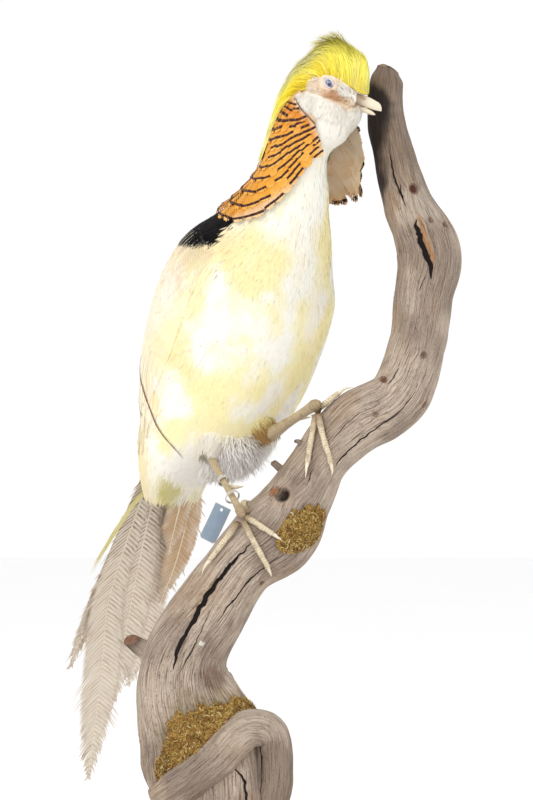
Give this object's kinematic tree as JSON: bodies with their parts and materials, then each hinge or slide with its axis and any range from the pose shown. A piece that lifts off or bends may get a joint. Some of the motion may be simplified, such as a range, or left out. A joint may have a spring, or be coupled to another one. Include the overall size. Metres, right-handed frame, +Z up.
{
  "type": "mounted golden pheasant on a driftwood branch",
  "caption": "Taxidermy golden pheasant cock of the yellow form, standing on an upright weathered driftwood branch with a barred orange cape, crest, hanging tail and a plain oval board.",
  "frame": {"origin": "middle of the oval board's underside, where it rests on the floor", "axes": "+Z up; +X to the right in the front view, the way the bird's head points; -Y towards the front view; the bird's breast faces between +X and -Y and its tail hangs to +Y"},
  "size_m": [0.33, 0.3826, 0.6683],
  "materials": {
    "card": "plain card label",
    "driftwood": "weathered bare driftwood",
    "glass_eye": "polished glass eye",
    "horn": "satin horn of bill and claws",
    "leg_skin": "dried scaly leg skin",
    "moss": "dry curly moss",
    "plumage_cream": "silky contour feathers",
    "plumage_orange": "barred cape feathers",
    "plumage_tail": "ragged tail vanes",
    "plumage_yellow": "hair-like crest feathers",
    "stand_wood": "dark oiled board",
    "thread": "cotton thread"
  },
  "bodies": {
    "root": {"bill_lower": "horn", "bill_upper": "horn", "branch_curl": "driftwood", "branch_foot": "driftwood", "branch_lower": "driftwood", "branch_middle": "driftwood", "branch_perch": "driftwood", "branch_top": "driftwood", "cape_left": "plumage_orange", "cape_right": "plumage_orange", "claw_left_hind": "horn", "claw_left_inner": "horn", "claw_left_middle": "horn", "claw_left_outer": "horn", "claw_right_hind": "horn", "claw_right_inner": "horn", "claw_right_middle": "horn", "claw_right_outer": "horn", "crest": "plumage_yellow", "eye_left": "glass_eye", "eye_right": "glass_eye", "foot_left": "leg_skin", "foot_right": "leg_skin", "head": "plumage_cream", "leg_ring": "thread", "moss_foot": "moss", "moss_knot": "moss", "neck": "plumage_cream", "rump": "plumage_cream", "shank_left": "leg_skin", "shank_right": "leg_skin", "spur_left": "horn", "spur_right": "horn", "stand_base": "stand_wood", "stub_low": "driftwood", "tag": "card", "tag_loop": "thread", "tail_left_long": "plumage_tail", "tail_left_plain": "plumage_tail", "tail_left_short": "plumage_tail", "tail_middle": "plumage_tail", "tail_right_long": "plumage_tail", "thigh_left": "plumage_cream", "thigh_right": "plumage_cream", "toe_left_hind": "leg_skin", "toe_left_inner": "leg_skin", "toe_left_middle": "leg_skin", "toe_left_outer": "leg_skin", "toe_right_hind": "leg_skin", "toe_right_inner": "leg_skin", "toe_right_middle": "leg_skin", "toe_right_outer": "leg_skin", "trunk": "plumage_cream", "twig_low": "driftwood", "vent_down": "plumage_cream", "wing_left": "plumage_cream", "wing_right": "plumage_cream"}
  },
  "joints": []
}
